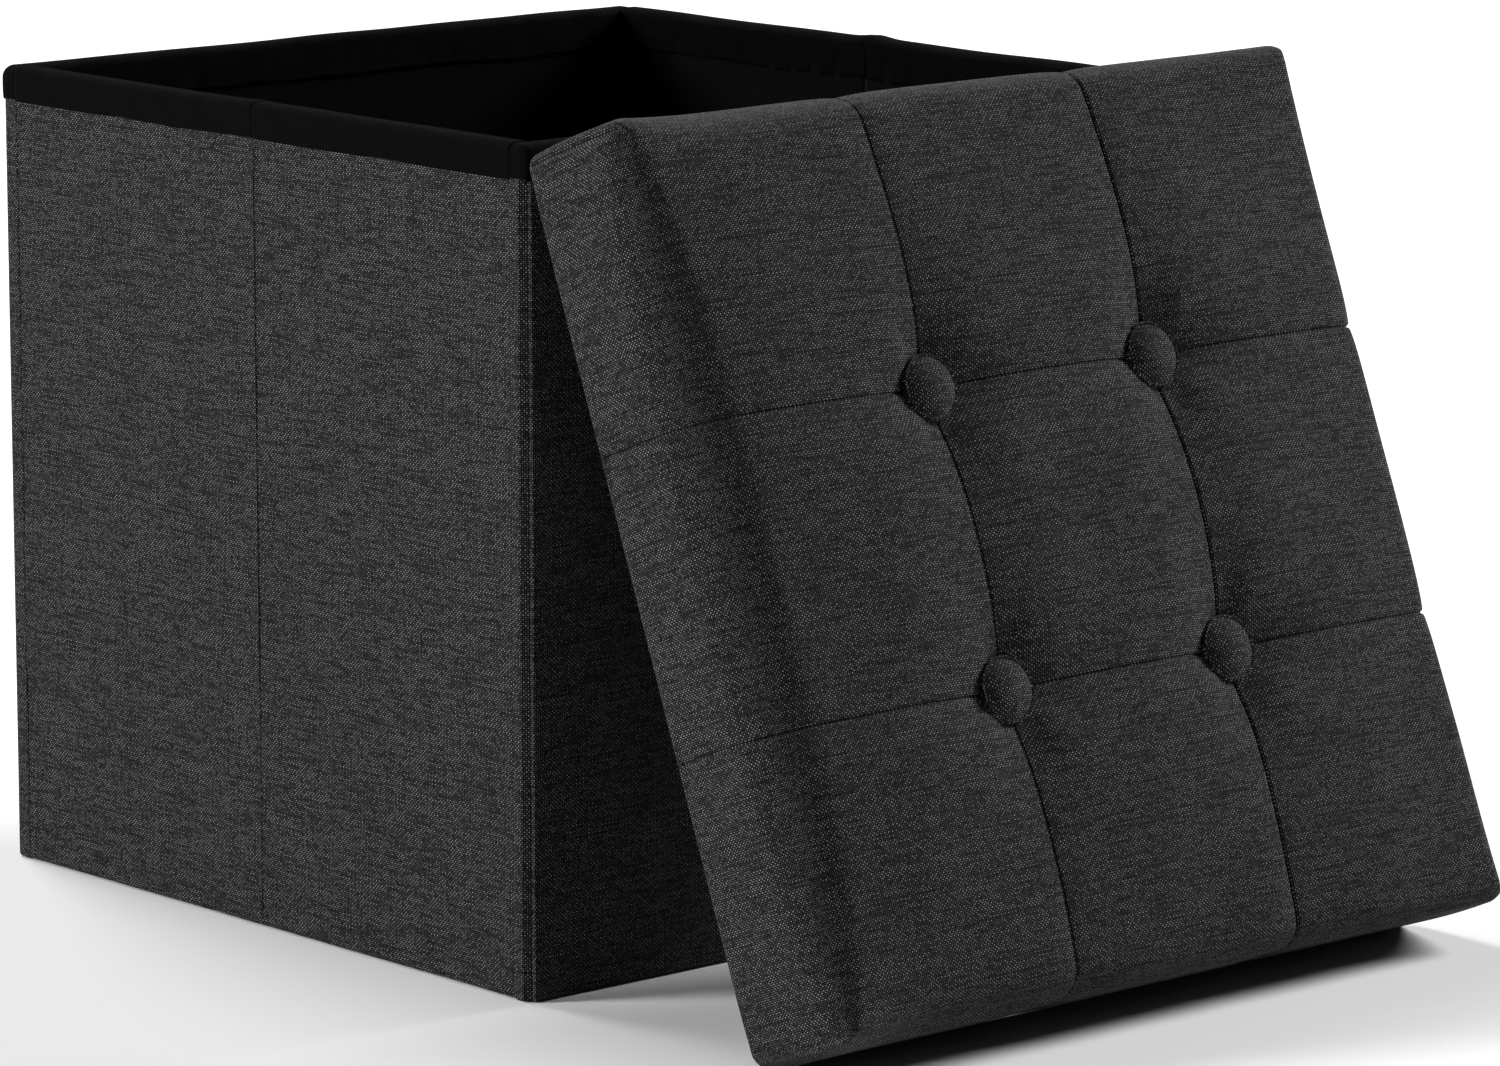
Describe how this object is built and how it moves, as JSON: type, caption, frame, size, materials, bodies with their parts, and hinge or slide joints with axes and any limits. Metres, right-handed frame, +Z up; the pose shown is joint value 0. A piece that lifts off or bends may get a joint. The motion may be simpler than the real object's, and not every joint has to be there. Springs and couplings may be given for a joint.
{
  "type": "storage ottoman",
  "caption": "Folding cube storage ottoman: fabric-covered folding walls, a loose base board and a loose square tufted lid leaning against the front wall.",
  "frame": {"origin": "on the floor, at the middle of the underside of the base board, which is the middle of the box", "axes": "+Z up; -Y towards the front wall that the lid leans on; the side walls that fold in the middle are at -X and +X"},
  "size_m": [0.4, 0.5877, 0.3913],
  "materials": {
    "linen": "woven charcoal linen-look cloth with light and dark slubs",
    "fibreboard": "raw fibreboard",
    "black_lining": "black non-woven cloth",
    "black_binding": "black woven edging",
    "thread": "matte sewing thread",
    "foam": "open-cell foam",
    "twine": "waxed twine",
    "staple_steel": "galvanised wire"
  },
  "bodies": {
    "front_wall": {"front_cover": "linen", "front_board": "fibreboard", "front_lining": "black_lining", "front_binding": "black_binding", "front_left_seam": "thread", "front_right_seam": "thread"},
    "left_front_wall": {"left_front_cover": "linen", "left_front_board": "fibreboard", "left_front_lining": "black_lining", "left_front_binding": "black_binding", "left_front_hem": "linen", "left_fold_seam": "thread"},
    "left_rear_wall": {"left_rear_cover": "linen", "left_rear_board": "fibreboard", "left_rear_lining": "black_lining", "left_rear_binding": "black_binding", "left_rear_hem": "linen"},
    "right_front_wall": {"right_front_cover": "linen", "right_front_board": "fibreboard", "right_front_lining": "black_lining", "right_front_binding": "black_binding", "right_front_hem": "linen", "right_fold_seam": "thread"},
    "right_rear_wall": {"right_rear_cover": "linen", "right_rear_board": "fibreboard", "right_rear_lining": "black_lining", "right_rear_binding": "black_binding", "right_rear_hem": "linen"},
    "back_wall": {"back_cover": "linen", "back_board": "fibreboard", "back_lining": "black_lining", "back_binding": "black_binding", "back_hem": "linen", "back_left_seam": "thread", "back_right_seam": "thread"},
    "base": {"base_board": "fibreboard", "base_sleeve": "black_lining", "base_pull_tab": "black_binding"},
    "lid": {"lid_board": "fibreboard", "lid_foam": "foam", "lid_cover": "linen", "lid_dust_cover": "black_lining", "lid_buttons": "linen", "lid_button_twines": "twine", "lid_twine_knots": "twine", "lid_staples": "staple_steel"}
  },
  "joints": [
    {"name": "wall_fold", "type": "hinge", "parent": "front_wall", "child": "left_front_wall", "pos_m": [-0.178, -0.178, 0], "axis": [0, 0, -1], "range_deg": [0, 88], "deforming": ["left_front_hem"]},
    {"name": "left_middle_fold", "type": "hinge", "parent": "left_front_wall", "child": "left_rear_wall", "pos_m": [-0.1905, 0, 0], "axis": [0, 0, 1], "range_deg": [0, 176], "deforming": ["left_rear_hem"]},
    {"name": "back_left_hinge", "type": "hinge", "parent": "left_rear_wall", "child": "back_wall", "pos_m": [-0.178, 0.178, 0], "axis": [0, 0, -1], "range_deg": [0, 88], "deforming": ["back_hem"]},
    {"name": "front_right_hinge", "type": "hinge", "parent": "front_wall", "child": "right_front_wall", "pos_m": [0.178, -0.178, 0], "axis": [0, 0, 1], "range_deg": [0, 88], "deforming": ["right_front_hem"]},
    {"name": "right_middle_fold", "type": "hinge", "parent": "right_front_wall", "child": "right_rear_wall", "pos_m": [0.1905, 0, 0], "axis": [0, 0, -1], "range_deg": [0, 176], "deforming": ["right_rear_hem"]},
    {"name": "base_lift", "type": "slide", "parent": "front_wall", "child": "base", "axis": [0, 0, 1], "range_m": [0, 0.42]},
    {"name": "lid_lift", "type": "slide", "parent": "front_wall", "child": "lid", "axis": [0, 0, 1], "range_m": [0, 0.42]}
  ],
  "couplings": [
    {"joint": "left_middle_fold", "follows": "wall_fold", "ratio": 2},
    {"joint": "back_left_hinge", "follows": "wall_fold", "ratio": 1},
    {"joint": "front_right_hinge", "follows": "wall_fold", "ratio": 1},
    {"joint": "right_middle_fold", "follows": "wall_fold", "ratio": 2}
  ]
}
